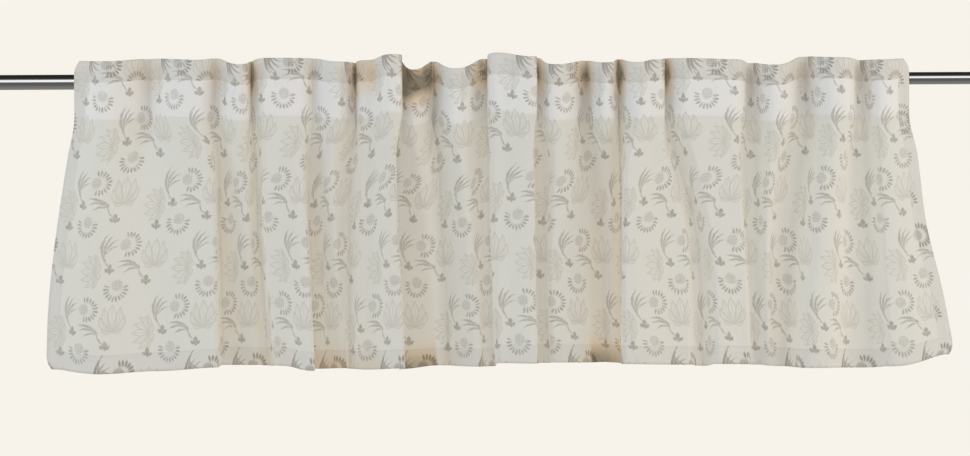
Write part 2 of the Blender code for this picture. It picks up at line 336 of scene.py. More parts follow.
# a row for each crest or valley, from left to right: how far across and how far in front of the rod's
# axis at each measured height, the height of the top and the bottom edge, and how broadly the cloth
# turns on the line's left and on its right
FoldLine = namedtuple("FoldLine", "name across forward top foot before after")
foldLines = [FoldLine(*row) for row in (
    ("leftEdge", (-663, -674, -691, -703, -707), (30, 32, 36, 38, 40), 31, -466, 0.30, 0.30),
    ("crest1", (-604, -606, -611, -614, -613), (54, 58, 62, 64, 66), 27, -471, 0.35, 0.45),
    ("valley1", (-545, -541, -535, -531, -526), (17, 42, 56, 60, 62), 35, -467, 0.20, 0.20),
    ("crest2", (-455, -434, -425, -423, -421), (60, 64, 70, 76, 82), 28, -459, 0.50, 0.05),
    ("valley2", (-433, -432, -431, -429, -428), (36, 24, 17, 17, 17), 33, -463, 0.10, 0.35),
    ("crest3", (-390, -382, -377, -372, -366), (66, 60, 50, 40, 36), 20, -461, 0.35, 0.08),
    ("valley3", (-379, -373, -369, -360, -352), (17, 17, 20, 24, 26), 30, -463, 0.12, 0.12),
    ("crest4", (-347, -350, -346, -336, -326), (56, 58, 62, 66, 72), 31, -458, 0.15, 0.40),
    ("crest5", (-291, -287, -280, -274, -268), (60, 66, 78, 88, 98), 30, -463, 0.45, 0.06),
    ("valley4", (-275, -282, -283, -280, -277), (44, 30, 20, 17, 17), 31, -470, 0.12, 0.35),
    ("crest6", (-236, -240, -238, -232, -226), (62, 60, 56, 52, 50), 24, -465, 0.35, 0.15),
    ("valley5", (-210, -217, -221, -221, -219), (17, 28, 34, 38, 40), 27, -467, 0.12, 0.15),
    ("crest7", (-187, -193, -196, -196, -192), (60, 60, 62, 66, 70), 26, -465, 0.20, 0.40),
    ("crest8", (-145, -140, -137, -130, -126), (84, 92, 98, 102, 104), 32, -459, 0.45, 0.05),
    ("valley6", (-140, -143, -145, -142, -138), (17, 17, 17, 17, 17), 35, -471, 0.05, 0.06),
    ("crest9", (-114, -104, -92, -82, -76), (50, 46, 38, 32, 28), 12, -464, 0.30, 0.30),
    ("valley7", (-83, -76, -70, -63, -60), (17, 20, 24, 22, 20), 29, -465, 0.05, 0.06),
    ("crest10", (-45, -34, -24, -13, -8), (56, 54, 54, 54, 56), 13, -463, 0.35, 0.20),
    ("valley8", (3, 2, 2, 5, 8), (17, 20, 28, 32, 34), 33, -465, 0.30, 0.30),
    ("crest11", (21, 19, 19, 22, 25), (62, 64, 68, 72, 76), 37, -455, 0.40, 0.40),
    ("crest12", (72, 76, 78, 79, 81), (68, 72, 76, 80, 84), 30, -455, 0.45, 0.08),
    ("valley9", (83, 90, 91, 93, 94), (17, 17, 17, 22, 26), 34, -461, 0.35, 0.40),
    ("crest13", (113, 114, 109, 107, 110), (62, 58, 56, 60, 64), 18, -456, 0.35, 0.40),
    ("valley10", (166, 171, 184, 194, 194), (17, 18, 20, 18, 17), 29, -461, 0.20, 0.30),
    ("crest14", (193, 198, 204, 207, 209), (58, 44, 34, 28, 24), 21, -461, 0.35, 0.12),
    ("valley11", (218, 220, 221, 221, 221), (17, 17, 17, 17, 17), 31, -463, 0.08, 0.04),
    ("crest15", (247, 224, 217, 214, 214), (68, 86, 96, 100, 104), 20, -454, 0.06, 0.50),
    ("crest16", (271, 285, 310, 316, 319), (62, 66, 68, 72, 74), 25, -459, 0.40, 0.12),
    ("valley12", (295, 311, 341, 348, 351), (17, 20, 26, 30, 32), 32, -466, 0.12, 0.15),
    ("crest17", (321, 334, 358, 367, 369), (60, 62, 68, 72, 76), 27, -458, 0.25, 0.40),
    ("crest18", (395, 399, 406, 413, 416), (60, 62, 66, 66, 64), 25, -460, 0.45, 0.20),
    ("valley13", (433, 433, 431, 433, 437), (17, 24, 36, 40, 38), 24, -464, 0.45, 0.45),
    ("crest19", (462, 455, 449, 450, 454), (60, 60, 60, 56, 52), 16, -464, 0.35, 0.15),
    ("valley14", (521, 507, 489, 479, 472), (17, 20, 28, 32, 34), 34, -467, 0.40, 0.40),
    ("crest20", (558, 547, 534, 521, 512), (64, 70, 78, 86, 92), 27, -463, 0.45, 0.40),
    ("valley15", (614, 612, 609, 608, 607), (17, 24, 34, 40, 42), 28, -469, 0.45, 0.45),
    ("crest21", (632, 632, 636, 641, 645), (56, 60, 64, 70, 76), 24, -463, 0.30, 0.40),
    ("rightEdge", (684, 695, 708, 732, 749), (36, 40, 44, 48, 52), 28, -447, 0.30, 0.30),
)]


# a value at a height, on a smooth curve through the values at the measured heights
def atHeight(values, height):
    if height >= measuredHeights[0]:
        return values[0]
    if height <= measuredHeights[-1]:
        return values[-1]
    pairs = range(len(measuredHeights) - 1)
    slopes = [(values[i + 1] - values[i]) / (measuredHeights[i + 1] - measuredHeights[i]) for i in pairs]
    bends = [0.0]
    for before, after in zip(slopes, slopes[1:]):
        bends.append((before + after) / 2 if before * after > 0 else 0.0)
    bends.append(slopes[-1])
    low = next(i for i in pairs if measuredHeights[i + 1] <= height)
    span = measuredHeights[low + 1] - measuredHeights[low]
    t = (height - measuredHeights[low]) / span
    start = (2 * t**3 - 3 * t**2 + 1) * values[low] + (t**3 - 2 * t**2 + t) * span * bends[low]
    end = (3 * t**2 - 2 * t**3) * values[low + 1] + (t**3 - t**2) * span * bends[low + 1]
    return start + end


# one flank of a fold, seen from above: it leaves each of its two lines square to the fold's depth
def flankCurve(start, end, startTurn, endTurn):
    reach = np.linalg.norm(end - start)
    fromStart = start + np.array((startTurn * reach, 0.0))
    toEnd = end - np.array((endTurn * reach, 0.0))
    t = np.linspace(0.0, 1.0, 33)[:, None]
    bend = 3 * (1 - t) ** 2 * t * fromStart + 3 * (1 - t) * t**2 * toEnd
    return (1 - t) ** 3 * start + bend + t**3 * end


def lengthsAlong(points):
    steps = np.linalg.norm(np.diff(points, axis=0), axis=1)
    return np.concatenate(((0.0,), np.cumsum(steps)))


# at the heading the loops pinch the valleys and the tape keeps the crests round
def turnOf(line, side, height):
    turn = getattr(line, side)
    if line.name.startswith("valley"):
        atHeading = turn * valance["headingPinch"]
    else:
        atHeading = max(turn, valance["headingRound"])
    fallen = min(1.0, max(0.0, (measuredHeights[0] - height) / valance["headingFade"]))
    return atHeading + (turn - atHeading) * fallen


def flankCurves(across, forward, after, before, depth):
    back = valance["rodPlane"]
    places = [np.array((x, -back - (y - back) * depth)) for x, y in zip(across, forward)]
    return [flankCurve(*ends) for ends in zip(places, places[1:], after, before[1:])]


# the folds are made deeper or shallower at each height until they take up the width of cloth
def foldsAt(height):
    across = [atHeight(line.across, height) for line in foldLines]
    forward = [atHeight(line.forward, height) for line in foldLines]
    after = [turnOf(line, "after", height) for line in foldLines]
    before = [turnOf(line, "before", height) for line in foldLines]
    shallow, deep = 0.4, 2.0
    for _ in range(16):
        depth = (shallow + deep) / 2
        curves = flankCurves(across, forward, after, before, depth)
        if sum(lengthsAlong(curve)[-1] for curve in curves) < valance["cutWidth"]:
            shallow = depth
        else:
            deep = depth
    return flankCurves(across, forward, after, before, (shallow + deep) / 2)


def edgeHeight(edge, line, share):
    before = getattr(foldLines[line], edge)
    after = getattr(foldLines[line + 1], edge)
    eased = share * share * (3 - 2 * share)
    return before + (after - before) * eased


# small unevenness of hung cloth: its size across and down, its height, and a seed for its noise
Wrinkles = namedtuple("Wrinkles", "across down height seed")
ripples = Wrinkles(34, 210, 1.5, 3.7)
puckers = Wrinkles(9, 60, 1.1, 11.3)
crinkles = Wrinkles(13, 24, 0.35, 7.9)
hemPuckers = Wrinkles(21, 40, 0.8, 5.1)


def wrinkleAt(kind, across, down):
    return noise.noise(Vector((across / kind.across, down / kind.down, kind.seed))) * kind.height


# 1 at a distance down the cloth, fading to 0 over a spread on both sides
def nearness(down, middle, spread):
    return math.exp(-(((down - middle) / spread) ** 2))


# ripples grow down the cloth, puckers keep to the seams and crinkles are everywhere
def wrinkle(across, down):
    hemSeam = valance["drop"] - valance["bottomHem"]
    nearSeam = max(nearness(down, valance["turnedTop"], 16), nearness(down, heading["tapeFoot"], 26))
    height = wrinkleAt(ripples, across, down) * min(1.0, 0.35 + down / 300)
    height += wrinkleAt(puckers, across, down) * nearSeam
    height += wrinkleAt(crinkles, across, down)
    return height + wrinkleAt(hemPuckers, across, down) * nearness(down, hemSeam, 14)


def wrinkles(across, rows):
    heights = [[wrinkle(u, v) for u in used] for used, v in zip(across, rows)]
    return np.array(heights)[:, :, None]


# the panel's corners are pulled in where its hems are turned over each other
def cornerPull(across, down):
    fromEnd = min(down, valance["drop"] - down)
    near = max(0.0, 1 - fromEnd / valance["cornerFall"]) ** 2 * valance["cornerRound"]
    left = max(0.0, 1 - across / valance["cornerReach"])
    right = max(0.0, 1 - (valance["cutWidth"] - across) / valance["cornerReach"])
    return near * (left - right)


# places, distances across and distances down of the cloth's columns at each row
def hangCloth(rows):
    places, across = [], []
    shares = np.linspace(0.0, 1.0, valance["columnsPerFlank"] + 1)
    for down in rows:
        row, used, gone = [], [], 0.0
        for line, curve in enumerate(foldsAt(valance["levelTop"] - down)):
            along = lengthsAlong(curve)
            for share in shares if line == 0 else shares[1:]:
                x = np.interp(share * along[-1], along, curve[:, 0])
                y = np.interp(share * along[-1], along, curve[:, 1])
                top = edgeHeight("top", line, share)
                foot = edgeHeight("foot", line, share)
                here = gone + share * along[-1]
                row.append((x + cornerPull(here, down), y, top + (foot - top) * down / valance["drop"]))
                used.append(here)
            gone += along[-1]
        places.append(row)
        across.append(used)
    return np.array(places), np.array(across)


# how strongly the valleys are shaded, from left to right: how far across, then at the heading, below
# it and along the bottom edge
ValleyShade = namedtuple("ValleyShade", "across heading below foot")
valleyShades = [ValleyShade(*row) for row in (
    (-700, 0.3, 0.1, 0.1),
    (-540, 0.4, 0.1, 0.1),
    (-424, 0.7, 0.9, 0.1),
    (-375, 1.3, 0.6, 0.3),
    (-275, 0.5, 0.8, 0.6),
    (-214, 1.0, 0.5, 0.9),
    (-134, 2.0, 0.5, 1.0),
    (-82, 1.1, 0.5, 0.9),
    (2, 0.8, 0.4, 0.1),
    (88, 0.9, 0.5, 0.1),
    (172, 1.0, 0.8, 1.3),
    (217, 1.3, 0.8, 0.9),
    (291, 1.4, 0.3, 0.1),
    (330, 0.5, 0.1, 0.1),
    (430, 0.2, 0.3, 0.1),
    (491, 0.25, 0.3, 0.1),
    (607, 0.25, 0.1, 0.1),
    (740, 0.3, 0.1, 0.1),
)]

shading = {
    "reach": 45.0,
    "slope": 0.25,
    "depth": 60.0,
    "shallowest": 0.08,
    "headingAt": 24.0,
    "headingSpread": 28.0,
    "footSpread": 30.0,
    "headingStrength": 2.7,
    "belowStrength": 0.4,
    "footStrength": 1.6,
}


def shadesAcross(across, part):
    marks = [shade.across for shade in valleyShades]
    strengths = [getattr(shade, part) for shade in valleyShades]
    return np.interp(across, marks, strengths) * shading[part + "Strength"]


# the painted shade of the folds: how far each place lies behind the folds beside it, 0 on a crest and
# about 1 deep in a valley, times the valleys' shade strengths
def paintedFoldShade(places, rows):
    paintedShade = []
    for row, down in zip(places, rows):
        x, y = row[:, 0], row[:, 1]
        apart = np.abs(x[:, None] - x[None, :])
        beside = np.where(apart < shading["reach"], -y[None, :] - shading["slope"] * apart, -np.inf)
        behind = (np.max(beside, axis=1) + y) / shading["depth"]
        held = nearness(down, shading["headingAt"], shading["headingSpread"])
        footed = nearness(down, valance["drop"], shading["footSpread"])
        heading, below, foot = (shadesAcross(x, part) for part in ("heading", "below", "foot"))
        strength = below + (heading - below) * held + (foot - below) * footed
        paintedShade.append(np.clip(behind - shading["shallowest"], 0.0, 1.0) * strength)
    return np.array(paintedShade)


# unit normals of a grid of places, facing the front
def gridNormals(places):
    sideways = np.gradient(places, axis=1)
    downward = np.gradient(places, axis=0)
    normals = np.cross(downward, sideways)
    return normals / np.linalg.norm(normals, axis=2)[:, :, None]


def addMesh(name, places, across, rows, *materials):
    height, width = places.shape[:2]
    corners = [i * width + j for i in range(height - 1) for j in range(width - 1)]
    faces = [(corner, corner + width, corner + width + 1, corner + 1) for corner in corners]
    mesh = bpy.data.meshes.new(name)
    mesh.from_pydata((places.reshape(-1, 3) * mm).tolist(), [], faces)
    mesh.shade_smooth()
    layer = mesh.uv_layers.new(name="clothPlace")
    flat = across.reshape(-1) * mm
    down = np.repeat(np.array(rows), width) * mm
    picked = np.array(faces).reshape(-1)
    layer.data.foreach_set("uv", np.column_stack((flat[picked], down[picked])).reshape(-1))
    for material in materials:
        mesh.materials.append(material)
    return newObject(name, mesh)


def thicken(made, thickness, offset=-1.0):
    shell = made.modifiers.new("thickness", "SOLIDIFY")
    shell.thickness = thickness * mm
    shell.offset = offset
    return shell


def applyModifiers(made):
    bpy.context.view_layer.update()
    evaluated = made.evaluated_get(bpy.context.evaluated_depsgraph_get())
    mesh = bpy.data.meshes.new_from_object(evaluated)
    made.modifiers.clear()
    made.data = mesh


def clothRows():
    drop, turned, hem = valance["drop"], valance["turnedTop"], valance["bottomHem"]
    step = valance["hemStep"]
    hemTop = drop - hem
    plainRows = round((hemTop - turned) / valance["rowPitch"])
    rows = np.linspace(0.0, turned, 8).tolist()
    rows += np.linspace(turned + step, hemTop - step, plainRows).tolist()
    return rows + np.linspace(hemTop, drop, 7).tolist()


def makePanel(front, back):
    rows = clothRows()
    places, across = hangCloth(rows)
    places = places + gridNormals(places) * wrinkles(across, rows)
    panel = addMesh("valance_cloth", places, across, rows, front, back)
    # painted shade of the folds, kept on the cloth's points for the front material
    paintedShade = panel.data.attributes.new(name="paintedFoldShade", type="FLOAT", domain="POINT")
    paintedShade.data.foreach_set("value", paintedFoldShade(places, rows).reshape(-1))
    single = valance["cloth"] / valance["doubledCloth"]
    group = panel.vertex_groups.new(name="doubled")
    width = across.shape[1]
    for i, down in enumerate(rows):
        for j, used in enumerate(across[i]):
            inSide = used <= valance["sideHem"] or used >= valance["cutWidth"] - valance["sideHem"]
            inEnd = down <= valance["turnedTop"] or down >= valance["drop"] - valance["bottomHem"]
            group.add((i * width + j,), 1.0 if inSide or inEnd else single, "REPLACE")
    shell = thicken(panel, valance["doubledCloth"])
    shell.vertex_group = group.name
    shell.material_offset = 1
    shell.material_offset_rim = 0
    applyModifiers(panel)
    print("valance cloth hung:", len(panel.data.polygons), "faces")
    return panel


# The print: its repeat and the place of every motif in it, in millimetres from the first bud

printing = {
    "repeatAcross": 150.0,
    "rowDrop": 100.0,
    "rowShift": 60.0,
    "budAcross": 48.0,
    "budDown": 30.0,
    "ground": (0.785, 0.81, 0.80, 1.0),
    "ink": (0.34, 0.32, 0.285, 1.0),
    "lineInk": (0.52, 0.51, 0.455, 1.0),
    "inkStrength": 0.68,
    "frondStrength": 0.80,
    "rayStrength": 0.95,
    "eyeStrength": 0.72,
    "lineStrength": 0.50,
    "lineReach": 0.8,
    "soft": 1.3,
    "handWander": 1.6,
}


# where a point of the cloth lies from the nearest copy of a motif
def motifPlaceGroup():
    group, given, results = newGroup(
        "Motif Place",
        {"Across": 0.0, "Down": 0.0, "Motif Across": 0.0, "Motif Down": 0.0},
        ("X", "Y", "Odd Row"),
    )
    below = minus(group, given["Down"], given["Motif Down"])
    row = calc(group, "FLOOR", timesPlus(group, below, 1 / printing["rowDrop"], 0.5))
    y = timesPlus(group, row, -printing["rowDrop"], below)
    odd = calc(group, "FLOORED_MODULO", row, 2.0)
    right = minus(group, given["Across"], given["Motif Across"])
    shifted = timesPlus(group, odd, -printing["rowShift"], right)
    half = printing["repeatAcross"] / 2
    x = calc(group, "WRAP", shifted, half, -half)
    answer(group, results, x, y, odd)
    return group


# a petal, leaf or blade of a motif: base x and y, tip x and y, bow, half width, and the share of that
# width which it has at its base
Blade = namedtuple("Blade", "baseX baseY tipX tipY bow half base")


# one petal, leaf or blade from a base to a tip, bowed to one side and pointed
def petalGroup():
    group, given, results = newGroup(
        "Petal",
        {"X": 0.0, "Y": 0.0, **dict.fromkeys(Blade._fields, 1.0)},
        ("Solid", "Outline"),
    )
    alongX = minus(group, given["tipX"], given["baseX"])
    alongY = minus(group, given["tipY"], given["baseY"])
    squared = squaredLength(group, alongX, alongY)
    length = calc(group, "SQRT", squared)
    pointX = minus(group, given["X"], given["baseX"])
    pointY = minus(group, given["Y"], given["baseY"])
    forward = timesPlus(group, pointX, alongX, times(group, pointY, alongY))
    raw = calc(group, "DIVIDE", forward, squared)
    share = calc(group, "ADD", raw, 0.0, clamp=True)
    crossed = times(group, pointY, alongX)
    crossed = minus(group, times(group, pointX, alongY), crossed)
    aside = calc(group, "DIVIDE", crossed, length)
    rest = minus(group, 1.0, share)
    arch = times(group, times(group, share, rest), 4.0)
    off = calc(group, "ABSOLUTE", minus(group, aside, times(group, arch, given["bow"])))
    past = times(group, calc(group, "ABSOLUTE", minus(group, raw, share)), length)
    reach = calc(group, "SQRT", squaredLength(group, off, past))
    breadth = calc(group, "MAXIMUM", arch, times(group, rest, given["base"]))
    width = times(group, breadth, given["half"])
    solid = softStep(group, minus(group, width, reach), printing["soft"])
    fromEdge = calc(group, "ABSOLUTE", minus(group, reach, width))
    fromVein = timesPlus(group, reach, 1.2, 0.3)
    fromEdge = calc(group, "MINIMUM", fromEdge, fromVein)
    outline = softStep(group, minus(group, printing["lineReach"], fromEdge), printing["soft"])
    answer(group, results, solid, outline)
    return group


# a round daisy: a mottled eye set off its centre, and rays with a gap in one direction
def daisyGroup():
    group, given, results = newGroup(
        "Daisy",
        {"X": 0.0, "Y": 0.0, "eyeX": 0.0, "eyeY": 0.0, "gapTurn": 0.0},
        ("Rays", "Eye"),
    )
    rayCount, rayStart, rayEnd, rayLean, rayBreadth, thinnest = 19, 8.0, 21.0, 1.6, 6.8, 0.5
    gapEdge, gapReach = 8.0, 3.6
    eyeRadius, eyeSoft, seedSlant, mottle = 8.8, 2.0, 0.9, 0.4
    radius = calc(group, "SQRT", squaredLength(group, given["X"], given["Y"]))
    angle = calc(group, "ARCTAN2", given["Y"], given["X"])
    sector = calc(group, "FRACT", timesPlus(group, angle, rayCount / (2 * math.pi), 50.0))
    aside = calc(group, "ABSOLUTE", minus(group, sector, 0.5))
    aside = times(group, times(group, aside, radius), 2 * math.pi / rayCount)
    rayLength = rayEnd - rayStart
    share = timesPlus(group, radius, 1 / rayLength, -rayStart / rayLength, clamp=True)
    leaned = calc(group, "POWER", share, rayLean)
    arch = times(group, leaned, minus(group, 1.0, leaned))
    width = times(group, arch, rayBreadth)
    ray = softStep(group, minus(group, width, aside), printing["soft"])
    ray = times(group, ray, softStep(group, minus(group, width, thinnest), 0.8))
    fromGap = calc(group, "COSINE", minus(group, angle, given["gapTurn"]))
    kept = timesPlus(group, fromGap, -gapEdge, gapReach, clamp=True)
    eyeAcross = minus(group, given["X"], given["eyeX"])
    eyeDown = minus(group, given["Y"], given["eyeY"])
    fromEye = calc(group, "SQRT", squaredLength(group, eyeAcross, eyeDown))
    inside = minus(group, eyeRadius, fromEye)
    rays = times(group, ray, kept)
    seedAcross = calc(group, "SINE", timesPlus(group, eyeAcross, seedSlant, eyeDown))
    seedDown = calc(group, "SINE", timesPlus(group, eyeDown, seedSlant, times(group, eyeAcross, -1.0)))
    seeded = timesPlus(group, times(group, seedAcross, seedDown), mottle, 1 - mottle)
    answer(group, results, rays, times(group, softStep(group, inside, eyeSoft), seeded))
    return group


budBlades = (
    Blade(0, 3, 0, -8, 0, 3.6, 0.6),
    Blade(0, 4, -8, -1, 1.0, 2.8, 0.6),
    Blade(0, 4, 8, 0, -1.0, 2.8, 0.6),
    Blade(0, 1, 1, 8, 0, 2.2, 0.8),
)

risingBlades = (
    Blade(-4, 19, -2, -24, 8.0, 2.3, 0.8),
    Blade(-5, 14, 7, -20, 6.0, 1.9, 0.6),
    Blade(-5, 10, 15, -13, 4.5, 1.6, 0.6),
    Blade(-3, 8, 16, -3, 2.5, 1.2, 0.6),
    Blade(-4, 18, 4, 29, -1.5, 1.0, 1.0),
)

sweepingBlades = (
    Blade(15, -3, -21, -13, -5.0, 2.1, 0.8),
    Blade(14, -2, -19, -4, -5.0, 1.8, 0.7),
    Blade(15, 0, -10, 5, -3.5, 1.6, 0.6),
    Blade(14, -3, 27, 17, -3.0, 1.2, 1.0),
)

# faint outlined blossoms: an upright one of tall petals, and one that lies on its side
uprightPetals = (
    Blade(0, 18, 0, -22, 0, 6.5, 0.2),
    Blade(2, 18, 13, -18, -3.0, 5.0, 0.2),
    Blade(3, 19, 20, -4, -4.0, 4.5, 0.2),
    Blade(0, 20, 17, 14, -3.0, 3.0, 0.2),
)

lyingPetals = (
    Blade(0, 9, 0, -15, 0, 5.0, 0.2),
    Blade(1, 9, 14, -13, -3.5, 4.5, 0.2),
    Blade(2, 10, 25, -4, -4.5, 4.2, 0.2),
    Blade(3, 11, 27, 8, -2.5, 3.0, 0.3),
    Blade(0, 11, 13, 17, -2.5, 3.2, 0.4),
)


def darkest(tree, inks):
    ink = inks[0]
    for more in inks[1:]:
        ink = calc(tree, "MAXIMUM", ink, more)
    return ink


def motifGroup(name, blades, petal, outlined=False):
    group, given, results = newGroup(name, {"X": 0.0, "Y": 0.0}, ("Ink",))
    inks = []
    for blade in blades:
        values = {"X": given["X"], "Y": given["Y"], **blade._asdict()}
        inks.append(useGroup(group, petal, values)["Outline" if outlined else "Solid"])
    answer(group, results, darkest(group, inks))
    return group


# where each motif stands from the first bud of the repeat
motifPlaces = {
    "bud": (0, 0),
    "hangingBud": (59, 21),
    "loneBud": (-24, 35),
    "risingFrond": (-5, -33),
    "sweepingFrond": (31, 3),
    "sideDaisy": (27, -36),
    "lowDaisy": (13, 32),
    "uprightBlossom": (70, -21),
    "lyingBlossom": (117, 4),
}


def motifSpot(tree, place, given, motif):
    right, down = motifPlaces[motif]
    values = {
        "Across": given["Across"],
        "Down": given["Down"],
        "Motif Across": printing["budAcross"] + right,
        "Motif Down": printing["budDown"] + down,
    }
    spot = useGroup(tree, place, values)
    return spot["X"], spot["Y"], spot["Odd Row"]


# a motif's drawing at its place in the repeat
def drawMotif(tree, place, given, motif, drawing, **more):
    x, y = motifSpot(tree, place, given, motif)[:2]
    return useGroup(tree, drawing, {"X": x, "Y": y, **more})


# each daisy's eye, off its centre, and the direction in which it has no rays
daisyForms = (
    ("sideDaisy", -5.5, 0, math.pi),
    ("lowDaisy", 1.5, -5.5, -math.pi / 2),
)


# the two daisies and the frond that rises beside them
def tallMotifs(group, given, place, daisy, rising):
    frond = drawMotif(group, place, given, "risingFrond", rising)["Ink"]
    inks = [times(group, frond, printing["frondStrength"])]
    for motif, eyeX, eyeY, gap in daisyForms:
        flower = drawMotif(group, place, given, motif, daisy, eyeX=eyeX, eyeY=eyeY, gapTurn=gap)
        inks.append(times(group, flower["Rays"], printing["rayStrength"]))
        inks.append(times(group, flower["Eye"], printing["eyeStrength"]))
    return inks


# the nearest of the three buds, which never overlap; the lone one is only in every other row
def nearestBud(group, given, place, bud):
    outOfReach = 500.0
    nearX = nearY = nearest = None
    for motif in ("bud", "hangingBud", "loneBud"):
        x, y, odd = motifSpot(group, place, given, motif)
        if motif == "loneBud":
            x = timesPlus(group, odd, outOfReach, x)
        squared = squaredLength(group, x, y)
        if nearest is None:
            nearX, nearY, nearest = x, y, squared
            continue
        closer = calc(group, "LESS_THAN", squared, nearest)
        nearX = timesPlus(group, minus(group, x, nearX), closer, nearX)
        nearY = timesPlus(group, minus(group, y, nearY), closer, nearY)
        nearest = calc(group, "MINIMUM", squared, nearest)
    return useGroup(group, bud, {"X": nearX, "Y": nearY})["Ink"]


# all the motifs of the print, and the few that show through from the layer behind a hem
def printGroups():
    place = motifPlaceGroup()
    petal = petalGroup()
    daisy = daisyGroup()
    bud = motifGroup("Leaf Bud", budBlades, petal)
    rising = motifGroup("Rising Frond", risingBlades, petal)
    sweeping = motifGroup("Sweeping Frond", sweepingBlades, petal)
    upright = motifGroup("Upright Blossom", uprightPetals, petal, outlined=True)
    lying = motifGroup("Lying Blossom", lyingPetals, petal, outlined=True)

    full, given, results = newGroup("Flower Print", {"Across": 0.0, "Down": 0.0}, ("Ink", "Line"))
    inks = tallMotifs(full, given, place, daisy, rising)
    inks.append(nearestBud(full, given, place, bud))
    frond = drawMotif(full, place, given, "sweepingFrond", sweeping)["Ink"]
    inks.append(times(full, frond, printing["frondStrength"]))
    x, y = motifSpot(full, place, given, "uprightBlossom")[:2]
    standing = useGroup(full, upright, {"X": calc(full, "ABSOLUTE", x), "Y": y})["Ink"]
    x, y = motifSpot(full, place, given, "lyingBlossom")[:2]
    resting = useGroup(full, lying, {"X": calc(full, "ABSOLUTE", y), "Y": x})["Ink"]
    answer(full, results, darkest(full, inks), darkest(full, [standing, resting]))

    ghost, given, results = newGroup("Print Behind", {"Across": 0.0, "Down": 0.0}, ("Ink",))
    answer(ghost, results, darkest(ghost, tallMotifs(ghost, given, place, daisy, rising)))
    return full, ghost


# where the cloth is doubled: the mask of the hems, and the place on the layer that lies behind
def hemGroup():
    width, drop, turned = valance["cutWidth"], valance["drop"], valance["turnedTop"]
    hem, side = valance["bottomHem"], valance["sideHem"]
    group, given, results = newGroup(
        "Turned Hems",
        {"Across": 0.0, "Down": 0.0},
        ("Doubled", "Across Behind", "Down Behind", "Stitches"),
    )
    across, down = given["Across"], given["Down"]
    within = (
        minus(group, turned, down),
        minus(group, down, drop - hem),
        minus(group, side, across),
        minus(group, across, width - side),
    )
    doubled = darkest(group, [softStep(group, inside, 0.8) for inside in within])
    acrossBehind = calc(group, "PINGPONG", across, width)
    mirroredTop = times(group, down, -1.0)
    mirroredFoot = minus(group, 2 * drop, down)
    chosen = calc(group, "GREATER_THAN", down, drop / 2)
    kept = times(group, minus(group, 1.0, chosen), mirroredTop)
    downBehind = timesPlus(group, chosen, mirroredFoot, kept)
    seams = []
    inset, stitchHalf, stitchPitch, stitchShare = 2.0, 0.5, 3.2, 0.36
    for seam in (turned - inset, heading["tapeFoot"] - inset, drop - hem + inset):
        near = calc(group, "ABSOLUTE", minus(group, down, seam))
        seams.append(softStep(group, minus(group, stitchHalf, near), 0.6))
    dash = calc(group, "FRACT", times(group, across, 1 / stitchPitch))
    fromMiddle = calc(group, "ABSOLUTE", minus(group, dash, 0.5))
    dash = softStep(group, minus(group, stitchShare, fromMiddle), 0.15)
    stitches = times(group, darkest(group, seams), dash)
    answer(group, results, doubled, acrossBehind, downBehind, stitches)
    return group


# plain weave: threads over and under each other, with thicker slubs here and there
def weaveGroup():
    group, given, results = newGroup(
        "Plain Weave", {"Across": 0.0, "Down": 0.0, "Pitch": 0.5}, ("Height", "Slub")
    )
    warp, weft = (
        calc(group, "SINE", times(group, calc(group, "DIVIDE", given[way], given["Pitch"]), math.pi))
        for way in ("Across", "Down")
    )
    height = timesPlus(group, times(group, warp, weft), 0.5, 0.5)
    thin, long = 0.9, 0.05
    lengthwise = vectorOf(group, times(group, given["Across"], thin), times(group, given["Down"], long))
    crosswise = vectorOf(group, times(group, given["Across"], long), times(group, given["Down"], thin))
    down = noiseAt(group, lengthwise, 1.0)
    wide = noiseAt(group, crosswise, 1.0)
    slub = times(group, calc(group, "ADD", down, wide), 0.5)
    answer(group, results, height, slub)
    return group


# the wander of a hand-cut block: edges a little off true, and ink taken up unevenly
def wanderGroup():
    group, given, results = newGroup(
        "Hand Wander", {"Across": 0.0, "Down": 0.0, "Reach": 1.0}, ("Across", "Down", "Tone")
    )
    drift = group.nodes.new("ShaderNodeTexNoise")
    group.links.new(vectorOf(group, given["Across"], given["Down"]), drift.inputs["Vector"])
    setInputs(drift, {"Scale": 0.16, "Detail": 1.0})
    parts = group.nodes.new("ShaderNodeSeparateColor")
    group.links.new(drift.outputs["Color"], parts.inputs[0])
    for label, part in zip(("Across", "Down"), parts.outputs):
        off = times(group, minus(group, part, 0.5), 2.0)
        group.links.new(timesPlus(group, off, given["Reach"], given[label]), results[label])
    group.links.new(timesPlus(group, parts.outputs[2], 0.9, 0.5), results["Tone"])
    return group


def clothCoordinates(tree):
    lookup = tree.nodes.new("ShaderNodeUVMap")
    lookup.uv_map = "clothPlace"
    parts = tree.nodes.new("ShaderNodeSeparateXYZ")
    tree.links.new(lookup.outputs[0], parts.inputs[0])
    return [times(tree, part, 1 / mm) for part in parts.outputs[:2]]


def letLightThrough(tree, shader, colour, amount, normal):
    through = newShader(tree, "BsdfTranslucent", colour)
    tree.links.new(normal, through.inputs["Normal"])
    return mixShaders(tree, amount, shader, through)


# seen directly the cloth is solid, but most of the light between the folds goes through the weave
def openWeave(tree, solid, output):
    plain = newShader(tree, "BsdfDiffuse", sheerness["plainColour"])
    through = newShader(tree, "BsdfTranslucent", sheerness["plainThrough"])
    cloth = mixShaders(tree, sheerness["single"], plain, through)
    gaps = tree.nodes.new("ShaderNodeBsdfTransparent")
    woven = mixShaders(tree, sheerness["openness"], cloth, gaps)
    path = tree.nodes.new("ShaderNodeLightPath").outputs
    seen = mixShaders(tree, path["Is Camera Ray"], woven, solid)
    tree.links.new(seen.outputs[0], output.inputs["Surface"])


